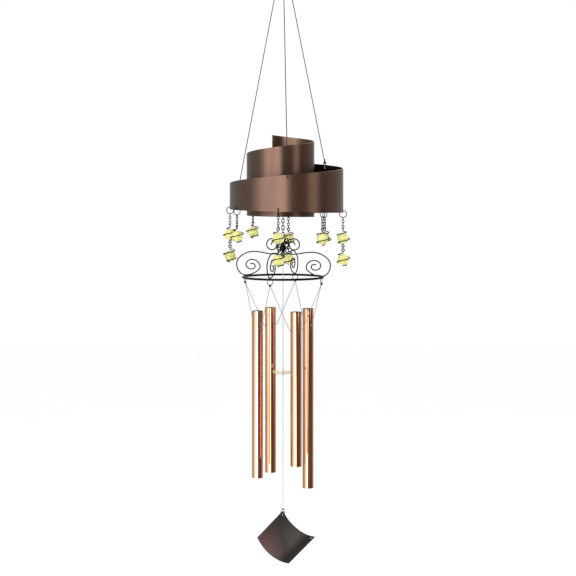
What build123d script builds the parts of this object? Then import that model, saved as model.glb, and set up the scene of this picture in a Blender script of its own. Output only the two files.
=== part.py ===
from build123d import *
import os
from math import asin, cos, degrees, hypot, pi, radians, sin, sqrt, tan

# A wind chime that hangs from a ring. Three cords carry a canopy, a tapered strip of
# sheet metal rolled into a spiral. Caged glass beads hang round the strip's lower edge.
# A chain inside the canopy carries a wire frame of four scrolls on a hoop. The hoop
# carries four tubes, and the frame's crown carries the clapper and the sail.
# Millimetres, +Z up. The origin is where a hook bears in the hanging ring.

# ---- driving sizes ----
play = 0.05  # gap left between links that only touch

# hanging ring and the knot that gathers the suspension cords
ring_eye_radius = 9.5
ring_wire = 2.5
gather_loop_radius = 3.0
gather_loop_wire = 1.8
gather_knot_radius = 3.0
suspension_cord = 1.2
gather_gap = 0.45  # clearance from the gather knot to the start of each cord

# canopy strip: where it crosses the X axis at each half turn, outermost first
strip_crossings = (-76.8, 87.0, -52.2, 45.0, -42.0)
strip_thickness = 1.0
strip_start = 120  # degrees along the strip, counted so that 180 is the first crossing
strip_end = 834
strip_step = 11  # degrees between the points that guide its edges
canopy_drop = 334.2  # gather knot down to the top edge at the first crossing
first_height = 36.9  # strip height at the first crossing
top_rise, top_easing = 23.3, -0.95  # per half turn, and per half turn squared
foot_fall, foot_easing = -6.2, 0.8

# suspension holes: name, degrees along the strip
suspension_places = (("left", 149), ("front", 271), ("right", 410))
suspension_hole_radius = 1.3
suspension_hole_depth = 4.0  # below the top edge
tie_radius = 3.1
tie_knot_radius = 1.5
tie_knot_rise = 0.4  # knot's middle above the top of its loop

# bead pendants: degrees along the strip, and whether a second bead hangs below
pendant_places = ((128, False), (180, True), (211, False), (262, True),
                  (308, False), (355, True), (410, False), (457.8, True))
pendant_hole_radius = 1.5
pendant_wire_drop = 0.6  # jump ring's wire below the middle of its hole
jump_ring_radius = 5.05
jump_ring_wire = 1.2
jump_ring_lift = 3.15  # wire in the hole, above the strip's lower edge
link_wire = 1.0
link_inner_length = 4.05
link_width = 3.9
link_count = 4
bead_radius = 8.0
bead_sink = 0.75  # bead's middle below the cage's, where it rests
cage_wire = 1.4
cage_gap = 1.1  # bead's size to the cage's wire, all round
cage_turns = 1.75
cage_steps = 8  # corners in each turn of the cage's wire
cage_reach = 62  # degrees that it winds to above and below the cage's middle
cage_bend_share = 0.45  # of the shorter run beside a corner, taken by its bend
cage_eye_radius = 2.0
cage_neck = 1.0
foot_eye_radius = 1.8
lower_ring_radius = 2.4

# cross wire inside the canopy, and the chain that hangs from its eye
cross_wire = 1.8
cross_wire_gap = 0.2
cross_wire_tail = 3.0
cross_eye_radius = 2.6
centre_link_wire = 1.2
centre_link_inner_length = 5.0
centre_link_width = 4.8
centre_link_count = 11
crown_drop = 94.1  # strip's top edge at the first crossing down to the middle of the crown

# crown of the scroll frame
crown_ring_radius = 3.0
crown_ring_wire = 1.2
crown_eye_radius = 1.9
crown_eye_wire = 1.2
crown_core_radius = 2.3
crown_height = 10.0
crown_wrap_radius = 4.9
crown_wrap_height = 4.5
crown_wrap_rise = 1.25  # its middle above the crown's middle

# scroll frame
scroll_wire = 1.7
scroll_count = 4
scroll_turn = 72  # degrees of the first scroll, seen from above
scroll_stem_radius = 3.0
scroll_dip_drop = 8.2  # crown's middle down to the dip of each scroll, beside the crown
scroll_crest_drop = 4.9  # and to its crest, over its curl on the hoop
scroll_foot_drop = 39.3  # and to the wire where it rests on the hoop
scroll_tip = 3.5  # straight end of its inner curl
hoop_radius = 58.0
hoop_wire = 3.2
weld_depth = 0.25
eyelet_radius = 4.0
eyelet_wire = 1.0
eyelet_drop = 7.6  # hoop's middle down to the eyelet's lowest wire
eyelet_knot_radius = 1.4

# tubes: name and length, in order round the hoop from the right one
tubes = (("right", 262.0), ("back", 243.0), ("left", 239.0), ("front", 219.0))
tube_radius = 8.0
tube_wall = 1.0
tube_top_drop = 47.2  # hoop's middle down to the tops of the tubes
tube_hole_radius = 1.25
tube_hole_depth = 27.0
tube_cord = 0.8
tube_cord_bend = 2.4  # three diameters, where the cord turns up beside the tube
tube_cord_stand = 1.9  # tube's outer wall to the corner of the cord

# striker, clapper and sail
striker_cord = 1.0
striker_loop_radius = 2.0
striker_loop_wire = 0.9
striker_knot_radius = 1.5
clapper_drop = 178.8  # middle of the crown down to the middle of the clapper
clapper_radius = 15.0
clapper_thickness = 3.2
clapper_edge_share = 0.4  # of the thickness, taken by each rounded edge
clapper_hole_radius = 0.9
clapper_knot_radius = 1.6
sail_cord = 0.8
sail_drop = 201.3  # middle of the clapper down to the sail's top corner
sail_side = 66.0
sail_roll_radius = 43.0
sail_thickness = 0.8
sail_lean = 19.0  # corner plane back from upright, so that its weight hangs below the cord
sail_turn = 17.0
sail_hole_inset = 6.0
sail_hole_radius = 1.3
sail_tie_rise = 2.4  # knot above the sail's corner
sail_tie_wire = 0.8
sail_knot_radius = 1.2

# ---- heights that follow from them ----
ring_wire_radius = ring_wire / 2
ring_radius = ring_eye_radius + ring_wire_radius
ring_z = -ring_eye_radius
ring_seat_z = ring_z - ring_radius  # middle of the wire at the ring's foot
gather_loop_z = ring_seat_z + ring_wire_radius + gather_loop_wire / 2 + play - gather_loop_radius
gather_z = gather_loop_z - gather_loop_radius - gather_knot_radius
crown_z = gather_z - canopy_drop - crown_drop
clapper_z = crown_z - clapper_drop
sail_z = clapper_z - sail_drop


def polar(radius, turn):
    """A level vector, from its length and its direction in degrees."""
    return Vector(radius * cos(radians(turn)), radius * sin(radians(turn)), 0)


def export(name, *solids):
    """Write one node, of one or more solids."""
    export_step(Compound(label=name, children=list(solids)), f"parts/{name}.step")


def ring(radius, wire, centre, axis):
    return Plane(origin=centre, z_dir=axis) * Torus(radius, wire / 2)


def rod(start, end, radius):
    start, end = Vector(start), Vector(end)
    along = end - start
    return Plane(origin=(start + end) / 2, z_dir=along) * Cylinder(radius, along.length)


def ball(radius, centre):
    return Location(centre) * Sphere(radius)


def wire_along(path, diameter):
    """A round wire along a path of lines and arcs."""
    return sweep(Plane(origin=path @ 0, z_dir=path % 0) * Circle(diameter / 2), path)


# ---- hanging ring and gather knot ----
def make_hanging_ring():
    export("hanging_ring", ring(ring_radius, ring_wire, (0, 0, ring_z), (0, 1, 0)))


def make_gather_knot():
    loop = ring(gather_loop_radius, gather_loop_wire, (0, 0, gather_loop_z), (1, 0, 0))
    export("gather_knot", loop + ball(gather_knot_radius, (0, 0, gather_z)))


# ---- canopy ----
def strip_arc(turn):
    """Centre and radius of the half turn that holds this place on the strip."""
    half = min(max(int((turn - 180) // 180), 0), len(strip_crossings) - 2)
    one, other = strip_crossings[half], strip_crossings[half + 1]
    return (one + other) / 2, abs(other - one) / 2


def strip_top(turn):
    half_turns = (turn - 180) / 180
    return gather_z - canopy_drop + top_rise * half_turns + top_easing * half_turns**2


def strip_foot(turn):
    half_turns = (turn - 180) / 180
    first_foot = gather_z - canopy_drop - first_height
    return first_foot + foot_fall * half_turns + foot_easing * half_turns**2


def strip_place(turn, height, offset=0):
    """A point of the strip's middle surface, or beside it, at a height."""
    centre, radius = strip_arc(turn)
    return Vector(centre, 0, height) + polar(radius + offset, turn)


def make_canopy():
    count = round((strip_end - strip_start) / strip_step)
    turns = [strip_start + (strip_end - strip_start) * n / count for n in range(count + 1)]
    half = strip_thickness / 2
    outer_top, inner_top = (
        Spline(*[strip_place(t, strip_top(t), side) for t in turns]) for side in (half, -half))
    outer_foot, inner_foot = (
        Spline(*[strip_place(t, strip_foot(t), side) for t in turns]) for side in (half, -half))
    sides = [Face.make_surface_from_curves(one, other) for one, other in (
        (outer_top, outer_foot), (inner_top, inner_foot),
        (outer_top, inner_top), (outer_foot, inner_foot))]
    ends = [
        Face(Wire.make_polygon([edge @ end for edge in (outer_top, outer_foot, inner_foot, inner_top)]))
        for end in (0, 1)]
    strip = Solid(Shell(sides + ends))
    for _, turn in suspension_places:
        place = strip_place(turn, strip_top(turn) - suspension_hole_depth)
        strip -= strip_drill(place, turn, suspension_hole_radius)
    for turn, _ in pendant_places:
        strip -= strip_drill(pendant_pivot(turn) + Vector(0, 0, pendant_wire_drop), turn,
                             pendant_hole_radius)
    strip -= rod(*cross_wire_span(), cross_wire / 2 + cross_wire_gap)
    export("canopy_spiral", strip)


def strip_drill(place, turn, radius):
    """A level drill through the strip at one place, square to it."""
    reach = polar(3 * strip_thickness, turn)
    return rod(place - reach, place + reach, radius)


# ---- suspension cords, tied through the strip's top edge ----
def tie_centre(turn):
    """Middle of the loop that passes through a suspension hole and over the edge."""
    hole_z = strip_top(turn) - suspension_hole_depth
    return strip_place(turn, hole_z + tie_radius)


def make_suspension():
    gather = Vector(0, 0, gather_z)
    ties = []
    for name, turn in suspension_places:
        centre = tie_centre(turn)
        knot = centre + Vector(0, 0, tie_radius + tie_knot_rise)
        along = (knot - gather).normalized()
        start = gather + along * (gather_knot_radius + gather_gap)
        end = knot - along * tie_knot_radius
        export(f"suspension_cord_{name}", rod(start, end, suspension_cord / 2))
        tangent = polar(1, turn + 90)
        ties.append(ring(tie_radius, suspension_cord, centre, tangent) + ball(tie_knot_radius, knot))
    export("cord_ties", *ties)


# ---- bead pendants ----
# Each is built with its pivot, the jump ring's wire in its hole, at the origin, X out
# from the canopy and Z up.
def pendant_pivot(turn):
    return strip_place(turn, strip_foot(turn) + jump_ring_lift)


def chain_link(length, width, wire):
    """One oval link about the origin, upright in the XZ plane, of this outer size."""
    bow = (width - wire) / 2
    straight = (length - wire) / 2 - bow
    half = Line((bow, 0, 0), (bow, 0, straight))
    half += ThreePointArc((bow, 0, straight), (0, 0, straight + bow), (-bow, 0, straight))
    half += Line((-bow, 0, straight), (-bow, 0, 0))
    upper = wire_along(half, wire)
    return upper + upper.mirror(Plane.XY)


def chain(top, count, inner_length, width, wire, first_across):
    """Links hung one from the next below top, the middle of the wire of the first
    link's upper bow. Returns them with the height of the last lower wire."""
    length = inner_length + 2 * wire
    shape = chain_link(length, width, wire)
    reach = length - wire
    links = []
    for n in range(count):
        across = first_across if n % 2 == 0 else not first_across
        middle = top - reach / 2 - n * (reach - wire - play)
        links.append(Location((0, 0, middle), (0, 0, 90 if across else 0)) * shape)
    return links, top - reach - (count - 1) * (reach - wire - play)


def cage_radius():
    """Middle of the cage to the middle of its wire."""
    return bead_radius + cage_gap + cage_wire / 2


def cage_path():
    """The wire spiral round a bead: corners on a round spiral, with bends between them."""
    count = round(cage_turns * cage_steps)
    corners = []
    for n in range(count + 1):
        slope = radians(cage_reach * (2 * n / count - 1))
        reach = cage_radius() * cos(slope) / cos(pi / cage_steps)
        corners.append(polar(reach, 360 * n / cage_steps) + Vector(0, 0, cage_radius() * sin(slope)))
    runs = [(b - a).length for a, b in zip(corners, corners[1:])]
    radii = []
    for n in range(1, count):
        turn = (corners[n] - corners[n - 1]).get_angle(corners[n + 1] - corners[n])
        radii.append(cage_bend_share * min(runs[n - 1], runs[n]) / tan(radians(turn / 2)))
    return FilletPolyline(*corners, radius=radii)


def make_cage_shape():
    """A caging wire about the origin, with its neck and the eye it hangs by."""
    top = cage_radius()
    path = cage_path()
    cage = wire_along(path, cage_wire)
    for end, pole in ((path @ 1, (0, 0, top)), (path @ 0, (0, 0, -top))):
        cage += rod(end, pole, cage_wire / 2) + ball(cage_wire / 2, end) + ball(cage_wire / 2, pole)
    cage += rod((0, 0, top), (0, 0, top + cage_neck), cage_wire / 2)
    return cage + ring(cage_eye_radius, cage_wire, (0, 0, top + cage_neck + cage_eye_radius), (0, 1, 0))


def pendant_heights():
    """Heights in a pendant, from its pivot: chain's upper wire, upper cage, eye below
    it, ring in that eye, lower cage."""
    ring_foot = -2 * jump_ring_radius
    chain_top = ring_foot + (jump_ring_wire + link_wire) / 2 + play
    reach = link_inner_length + link_wire
    chain_foot = chain_top - reach - (link_count - 1) * (reach - link_wire - play)
    eye_top = chain_foot + (link_wire + cage_wire) / 2 + play
    cage = eye_top - 2 * cage_eye_radius - cage_neck - cage_radius()
    foot_eye = cage - cage_radius() - foot_eye_radius
    link_ring_top = foot_eye - foot_eye_radius + (cage_wire + link_wire) / 2 + play
    link_ring_foot = link_ring_top - 2 * lower_ring_radius
    lower_eye_top = link_ring_foot + (link_wire + cage_wire) / 2 + play
    lower_cage = lower_eye_top - 2 * cage_eye_radius - cage_neck - cage_radius()
    return chain_top, cage, foot_eye, link_ring_top - lower_ring_radius, lower_cage


def make_pendants():
    chain_top, upper_z, foot_eye_z, link_ring_z, lower_z = pendant_heights()
    cage, bead = make_cage_shape(), ball(bead_radius, (0, 0, -bead_sink))
    jump_ring = ring(jump_ring_radius, jump_ring_wire, (0, 0, -jump_ring_radius), (0, 1, 0))
    links, _ = chain(chain_top, link_count, link_inner_length, link_width, link_wire, True)
    foot_eye = ring(foot_eye_radius, cage_wire, (0, 0, foot_eye_z), (0, 1, 0))
    eye_turn = 90 if link_count % 2 == 0 else 0  # square to the last link
    link_ring = ring(lower_ring_radius, link_wire, (0, 0, link_ring_z), (1, 0, 0))
    for number, (turn, double) in enumerate(pendant_places, 1):
        frame = Plane(origin=pendant_pivot(turn), x_dir=polar(1, turn), z_dir=(0, 0, 1)).location
        name = f"pendant_{number}"
        upper_cage = Location((0, 0, upper_z), (0, 0, eye_turn)) * cage
        if double:
            upper_cage = upper_cage + foot_eye
        export(f"{name}_chain", *[frame * piece for piece in [jump_ring] + links])
        export(f"{name}_cage", frame * upper_cage)
        export(f"{name}_glass", frame * Location((0, 0, upper_z)) * bead)
        if double:
            lower_cage = Location((0, 0, lower_z)) * cage
            export(f"{name}_lower_cage", frame * lower_cage, frame * link_ring)
            export(f"{name}_lower_glass", frame * Location((0, 0, lower_z)) * bead)


# ---- cross wire, centre chain and crown ----
def crown_heights():
    """Middles of the crown's upper eye, the crown ring and the chain's last wire."""
    eye = crown_z + crown_height / 2 + crown_eye_radius
    ring_foot = eye + crown_eye_radius - (crown_eye_wire + crown_ring_wire) / 2 - play
    ring_middle = ring_foot + crown_ring_radius
    last_wire = ring_middle + crown_ring_radius - (crown_ring_wire + centre_link_wire) / 2 - play
    return eye, ring_middle, last_wire


def centre_chain_top():
    reach = centre_link_inner_length + centre_link_wire
    pitch = reach - centre_link_wire - play
    return crown_heights()[2] + reach + (centre_link_count - 1) * pitch


def cross_eye_z():
    wire_foot = centre_chain_top() - (centre_link_wire + cross_wire) / 2 - play
    return wire_foot + cross_eye_radius


def cross_wire_span():
    """Ends of the cross wire, past both walls of the strip's inner turn."""
    height = cross_eye_z() + cross_eye_radius
    left, right = strip_crossings[2], strip_crossings[3]
    return Vector(left - cross_wire_tail, 0, height), Vector(right + cross_wire_tail, 0, height)


def make_centre_chain():
    start, end = cross_wire_span()
    eye = ring(cross_eye_radius, cross_wire, (0, 0, cross_eye_z()), (0, 1, 0))
    tails = [rod(tip, tip - Vector(0, 0, cross_wire_tail), cross_wire / 2) + ball(cross_wire / 2, tip)
             for tip in (start, end)]
    export("cross_wire", rod(start, end, cross_wire / 2) + eye + tails[0] + tails[1])
    links, _ = chain(centre_chain_top(), centre_link_count, centre_link_inner_length,
                     centre_link_width, centre_link_wire, True)
    export("centre_chain", *links)
    export("crown_ring", ring(crown_ring_radius, crown_ring_wire, (0, 0, crown_heights()[1]), (0, 1, 0)))


# ---- scroll frame ----
def quarter(start, end, heading):
    """Two tangent arcs that turn a quarter from one direction to a square one."""
    across, up = end[0] - start[0], end[1] - start[1]
    level = abs(heading[0]) > 0.5
    ahead, aside = (abs(across), abs(up)) if level else (abs(up), abs(across))
    near, far = cos(radians(45)), 1 - cos(radians(45))
    first = (near * ahead - far * aside) / (near**2 - far**2)
    second = (near * aside - far * ahead) / (near**2 - far**2)
    left_turn = heading[0] * up - heading[1] * across > 0
    arc = JernArc(start, heading, first, 45 if left_turn else -45)
    return arc, JernArc(arc @ 1, arc % 1, second, 45 if left_turn else -45)


def scroll_outline():
    """One scroll's wire, out from the axis and up from the crown's middle. Each list
    is the places where the wire runs level or upright, from the crown outwards."""
    curl = [(scroll_stem_radius, 4.2), (16.7, 14.2), (25.0, 5.8), (16.8, -2.0), (9.6, 5.5),
            (13.8, 9.4), (18.2, 5.0)]
    foot_z = -scroll_foot_drop
    sweep_out = [(hoop_radius + out, z) for out, z in (
        (-13.0, -scroll_crest_drop), (13.5, foot_z + 15.8), (0, foot_z), (-22.8, foot_z + 11.8),
        (-10.5, foot_z + 22.7), (-1.0, foot_z + 15.3), (-9.5, foot_z + 8.7),
        (-15.2, foot_z + 13.3), (-11.5, foot_z + 16.7))]
    pieces = []
    heading = (0, 1)
    for start, end in zip(curl, curl[1:]):
        pieces += quarter(start, end, heading)
        heading = step_heading(heading, start, end)
    stem_foot = (scroll_stem_radius, -0.8)
    dip = (13.0, -scroll_dip_drop)
    pieces.append(Line(curl[0], stem_foot))
    pieces += quarter(stem_foot, dip, (0, -1))
    pieces += ogee(dip, sweep_out[0])
    heading = (1, 0)
    for start, end in zip(sweep_out, sweep_out[1:]):
        pieces += quarter(start, end, heading)
        heading = step_heading(heading, start, end)
    tip = sweep_out[-1]
    pieces.append(Line(tip, (tip[0] + scroll_tip, tip[1])))
    return Wire(Curve() + pieces)


def ogee(start, end):
    """Two tangent arcs from one level direction up to the same one."""
    along, rise = end[0] - start[0], end[1] - start[1]
    radius = (along**2 + rise**2) / (4 * rise)
    turn = degrees(2 * asin(rise / hypot(along, rise)))
    arc = JernArc(start, (1, 0), radius, turn)
    return arc, JernArc(arc @ 1, arc % 1, radius, -turn)


def step_heading(heading, start, end):
    """The level or upright direction after a quarter turn."""
    if heading[0]:
        return (0, 1 if end[1] > start[1] else -1)
    return (1 if end[0] > start[0] else -1, 0)


def hoop_z():
    return crown_z - scroll_foot_drop - (scroll_wire + hoop_wire) / 2 + weld_depth


def make_frame():
    hoop = Location((0, 0, hoop_z())) * Torus(hoop_radius, hoop_wire / 2)
    outline = scroll_outline()
    flat = wire_along(outline, scroll_wire)
    scrolls, eyelets, knots = [], [], []
    eyelet_z = hoop_z() - eyelet_drop
    for n in range(scroll_count):
        turn = scroll_turn + 360 * n / scroll_count
        upright = Plane(origin=(0, 0, crown_z), x_dir=polar(1, turn), z_dir=polar(1, turn - 90))
        scrolls.append(upright.location * flat - hoop)
        spot = polar(hoop_radius, turn)
        beside = Plane(origin=spot, x_dir=polar(1, turn + 90), z_dir=polar(1, turn))
        leg = hoop_z()
        bend = eyelet_z + eyelet_radius
        loop = Line((-eyelet_radius, leg), (-eyelet_radius, bend))
        loop += ThreePointArc((-eyelet_radius, bend), (0, eyelet_z), (eyelet_radius, bend))
        loop += Line((eyelet_radius, bend), (eyelet_radius, leg))
        eyelet = beside.location * wire_along(loop, eyelet_wire) - hoop
        eyelets.append(eyelet)
        knots.append(ball(eyelet_knot_radius, eyelet_knot(turn)) - eyelet)
    export("scrolls", *scrolls)
    export("hoop", hoop, *eyelets)
    export("eyelet_knots", *knots)
    core = Location((0, 0, crown_z)) * Cylinder(crown_core_radius, crown_height)
    wrap = Location((0, 0, crown_z + crown_wrap_rise)) * Cylinder(
        crown_wrap_radius, crown_wrap_height)
    upper_eye = ring(crown_eye_radius, crown_eye_wire, (0, 0, crown_heights()[0]), (1, 0, 0))
    lower_eye = ring(crown_eye_radius, crown_eye_wire, (0, 0, striker_eye_z()), polar(1, tube_turn(0)))
    crown = core + wrap + upper_eye + lower_eye
    for scroll in scrolls:
        crown -= scroll
    export("crown", max(crown.solids(), key=lambda solid: solid.volume))


def eyelet_knot(turn):
    below = hoop_z() - eyelet_drop - eyelet_wire / 2 - eyelet_knot_radius / 2
    return polar(hoop_radius, turn) + Vector(0, 0, below)


# ---- tubes and their cords ----
def tube_turn(number):
    """Direction of a tube, halfway between two scrolls."""
    return scroll_turn - 180 / scroll_count + 360 * number / scroll_count


def tube_circle():
    return hoop_radius * cos(radians(180 / scroll_count))


def make_tubes():
    top = hoop_z() - tube_top_drop
    hole_z = top - tube_hole_depth
    for number, (name, length) in enumerate(tubes):
        turn = tube_turn(number)
        centre = polar(tube_circle(), turn) + Vector(0, 0, top - length / 2)
        tube = Cylinder(tube_radius, length) - Cylinder(tube_radius - tube_wall, length)
        tube = Location(centre) * tube
        side = polar(1, turn + 90)
        hole = polar(tube_circle(), turn) + Vector(0, 0, hole_z)
        tube -= rod(hole - side * 2 * tube_radius, hole + side * 2 * tube_radius, tube_hole_radius)
        export(f"tube_{name}", tube)

        # the cord runs from one eyelet's knot down, through the tube and up to the next
        knots = [eyelet_knot(turn + sign * 180 / scroll_count) for sign in (-1, 1)]
        corners = [hole + side * sign * (tube_radius + tube_cord_stand) for sign in (-1, 1)]
        ends = [knot + (corner - knot).normalized() * (eyelet_knot_radius + play * 3)
                for knot, corner in zip(knots, corners)]
        path = FilletPolyline(ends[0], *corners, ends[1], radius=tube_cord_bend)
        cord = wire_along(path, tube_cord)
        print(f"tube_cord_{name}: {path.length:.1f} mm long, bends of {tube_cord_bend} mm")
        export(f"tube_cord_{name}", cord)


# ---- striker, clapper and sail ----
def striker_eye_z():
    return crown_z - crown_height / 2 - crown_eye_radius


def striker_pivot_z():
    """Middle of the wire at the foot of the crown's lower eye."""
    return striker_eye_z() - crown_eye_radius


def striker_knot_z():
    loop_top = striker_pivot_z() + (crown_eye_wire + striker_loop_wire) / 2 + play
    return loop_top - 2 * striker_loop_radius - striker_knot_radius


def make_striker():
    knot_z = striker_knot_z()
    loop_z = knot_z + striker_knot_radius + striker_loop_radius
    loop = ring(striker_loop_radius, striker_loop_wire, (0, 0, loop_z), polar(1, tube_turn(1)))
    export("striker_knot", loop + ball(striker_knot_radius, (0, 0, knot_z)))

    cord_top = knot_z - striker_knot_radius - play * 3
    clapper_foot = clapper_z - clapper_thickness / 2
    export("striker_cord", rod((0, 0, cord_top), (0, 0, clapper_foot), striker_cord / 2))
    disc = Cylinder(clapper_radius, clapper_thickness)
    disc = fillet(disc.edges(), clapper_thickness * clapper_edge_share)
    disc -= Cylinder(clapper_hole_radius, clapper_thickness)
    export("clapper", Location((0, 0, clapper_z)) * disc)

    knot = ball(clapper_knot_radius, (0, 0, clapper_knot_z()))
    cord_end = sail_knot_z() + sail_knot_radius + play
    export("sail_cord", knot + rod((0, 0, clapper_knot_z()), (0, 0, cord_end), sail_cord / 2))


def clapper_knot_z():
    return clapper_z - clapper_thickness / 2 - clapper_knot_radius - play * 3


def sail_knot_z():
    return sail_z + sail_tie_rise


def make_sail():
    """A square sheet rolled about its straight edges, hung by one corner."""
    half_angle = degrees(sail_side / sail_roll_radius) / 2
    half_chord = sail_roll_radius * sin(radians(half_angle))
    rim = sail_roll_radius * cos(radians(half_angle))
    outer = sail_roll_radius + sail_thickness / 2
    inner = outer - sail_thickness
    sector = make_face(
        CenterArc((0, 0), outer, -90 - half_angle, arc_size=2 * half_angle)
        + Line(polar(outer, -90 + half_angle), polar(inner, -90 + half_angle))
        + CenterArc((0, 0), inner, -90 - half_angle, arc_size=2 * half_angle)
        + Line(polar(outer, -90 - half_angle), polar(inner, -90 - half_angle)))
    sheet = extrude(sector, sail_side / 2, both=True)
    inset = sail_hole_inset / sqrt(2)
    for side in (-1, 1):
        around = -90 + side * (half_angle - degrees(inset / sail_roll_radius))
        spot = polar(sail_roll_radius, around) + Vector(0, 0, sail_side / 2 - inset)
        reach = polar(2 * sail_thickness, around)
        sheet -= rod(spot - reach, spot + reach, sail_hole_radius)

    # the hanging corner goes to the axis, with the opposite corner below it
    corner = Location((half_chord, rim, -sail_side / 2))
    upright = degrees(asin(2 * half_chord / hypot(sail_side, 2 * half_chord)))
    hang = (Location((0, 0, sail_z)) * Location((0, 0, 0), (0, 0, -sail_turn))
            * Location((0, 0, 0), (sail_lean, 0, 0)) * Location((0, 0, 0), (0, upright, 0)) * corner)
    sheet = hang * sheet
    export("sail", sheet)

    # the tie goes from its knot on the axis through the corner's hole
    around = -90 - half_angle + degrees(inset / sail_roll_radius)
    level = sail_side / 2 - inset
    hole = (hang * Location(polar(sail_roll_radius, around) + Vector(0, 0, level))).position
    beyond = (hang * Location(polar(sail_roll_radius + 1, around) + Vector(0, 0, level))).position
    knot = Vector(0, 0, sail_knot_z())
    axis = (knot - hole).cross(beyond - hole)
    tie = ring((knot - hole).length / 2, sail_tie_wire, (knot + hole) / 2, axis)
    export("sail_tie", tie + ball(sail_knot_radius, knot))


def main():
    os.makedirs("parts", exist_ok=True)
    make_hanging_ring()
    make_gather_knot()
    make_canopy()
    make_suspension()
    make_pendants()
    make_centre_chain()
    make_frame()
    make_tubes()
    make_striker()
    make_sail()


main()
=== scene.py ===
import math
import bmesh
import bpy
from mathutils import Matrix, Vector


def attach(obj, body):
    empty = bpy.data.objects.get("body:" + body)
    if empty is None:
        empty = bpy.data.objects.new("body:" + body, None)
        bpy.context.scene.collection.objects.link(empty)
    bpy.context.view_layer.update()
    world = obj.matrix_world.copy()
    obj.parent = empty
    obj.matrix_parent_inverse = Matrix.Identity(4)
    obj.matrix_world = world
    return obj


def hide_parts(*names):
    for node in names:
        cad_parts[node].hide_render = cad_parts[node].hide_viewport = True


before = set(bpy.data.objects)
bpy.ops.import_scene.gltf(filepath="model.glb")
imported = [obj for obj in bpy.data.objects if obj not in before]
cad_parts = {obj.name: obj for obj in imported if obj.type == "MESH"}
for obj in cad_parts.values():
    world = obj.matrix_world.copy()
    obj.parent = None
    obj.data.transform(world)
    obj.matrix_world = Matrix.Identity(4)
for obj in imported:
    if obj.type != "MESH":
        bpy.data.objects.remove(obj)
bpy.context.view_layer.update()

mm = 0.001
print("frame loaded:", len(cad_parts), "nodes")


def inMetres(*values):
    return tuple(value * mm for value in values)


def levelVector(turn, length=1.0):
    angle = math.radians(turn)
    return Vector((math.cos(angle) * length, math.sin(angle) * length, 0))


def addObject(name, data):
    piece = bpy.data.objects.new(name, data)
    bpy.context.scene.collection.objects.link(piece)
    return piece


def smoothMesh(mesh, angle=40, outward=False):
    work = bmesh.new()
    work.from_mesh(mesh)
    bmesh.ops.remove_doubles(work, verts=work.verts, dist=2e-6)
    if outward:
        bmesh.ops.recalc_face_normals(work, faces=work.faces)
    work.to_mesh(mesh)
    work.free()
    mesh.shade_smooth()
    mesh.set_sharp_from_angle(angle=math.radians(angle))


def dress(piece, body, slotName, *nodes):
    # every piece rides on a body, and stands for the plain nodes it covers
    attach(piece, body)
    if nodes:
        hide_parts(*nodes)
    return piece


def polished(node, name, body, slotName, material, angle=40):
    # the exact shape of a node, with its triangles joined so that it shades smoothly
    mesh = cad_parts[node].data.copy()
    mesh.name = name
    smoothMesh(mesh, angle)
    mesh.materials.clear()
    mesh.materials.append(material)
    return dress(addObject(name, mesh), body, slotName, node)


def startMaterial(name, **sockets):
    material = bpy.data.materials.new(name)
    material.use_nodes = True
    tree = material.node_tree
    shader = tree.nodes["Principled BSDF"]
    for label, value in sockets.items():
        shader.inputs[label.replace("_", " ")].default_value = value
    return material, tree, shader


def shadeNode(tree, kind, values=None, **settings):
    node = tree.nodes.new(kind)
    for label, value in settings.items():
        setattr(node, label, value)
    for label, value in (values or {}).items():
        if isinstance(value, bpy.types.NodeSocket):
            tree.links.new(value, node.inputs[label])
        else:
            node.inputs[label].default_value = value
    return node


def placeOf(tree, stretch=(1, 1, 1), attribute=None):
    # where a point lies on the piece, in metres, stretched for grain
    if attribute:
        source = shadeNode(tree, "ShaderNodeAttribute", attribute_name=attribute).outputs["Vector"]
    else:
        source = shadeNode(tree, "ShaderNodeTexCoord").outputs["Object"]
    return shadeNode(tree, "ShaderNodeMapping", {"Vector": source, "Scale": stretch}).outputs["Vector"]


def noiseOf(tree, place, scale, detail=4.0, roughness=0.55, distortion=0.0):
    return shadeNode(tree, "ShaderNodeTexNoise", {
        "Vector": place, "Scale": scale, "Detail": detail,
        "Roughness": roughness, "Distortion": distortion}).outputs["Fac"]


def rampOf(tree, amount, stops):
    ramp = shadeNode(tree, "ShaderNodeValToRGB", {"Fac": amount})
    ramp.color_ramp.interpolation = "LINEAR"
    while len(ramp.color_ramp.elements) < len(stops):
        ramp.color_ramp.elements.new(0.5)
    for element, (position, colour) in zip(ramp.color_ramp.elements, stops):
        element.position = position
        element.color = (*colour, 1) if len(colour) == 3 else colour
    return ramp.outputs["Color"]


def rangeOf(tree, amount, low, high, fromLow=0.3, fromHigh=0.7):
    return shadeNode(tree, "ShaderNodeMapRange", {
        "Value": amount, "From Min": fromLow, "From Max": fromHigh,
        "To Min": low, "To Max": high}).outputs["Result"]


def mixOf(tree, amount, first, second):
    # a colour mix: its sockets 0, 6 and 7 are the share and the two colours, and 2 is the result
    node = shadeNode(tree, "ShaderNodeMix", data_type="RGBA", blend_type="MIX")
    for socket, value in ((node.inputs[0], amount), (node.inputs[6], first), (node.inputs[7], second)):
        if isinstance(value, bpy.types.NodeSocket):
            tree.links.new(value, socket)
        else:
            socket.default_value = value
    return node.outputs[2]


def bumpOf(tree, shader, height, strength, distance):
    bump = shadeNode(tree, "ShaderNodeBump", {"Height": height, "Strength": strength, "Distance": distance})
    tree.links.new(bump.outputs["Normal"], shader.inputs["Normal"])


canopyFinish = {
    "dark": (0.07, 0.044, 0.03), "brown": (0.115, 0.066, 0.047), "copper": (0.4, 0.18, 0.108),
    "plum": (0.12, 0.052, 0.054), "olive": (0.08, 0.074, 0.047), "edge": (0.9, 0.68, 0.52),
    "inner": (0.016, 0.01, 0.008), "innerFade": (-0.335, -0.318),  # painted shade inside the turns, near-black low down and fading higher up, in metres
}


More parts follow.
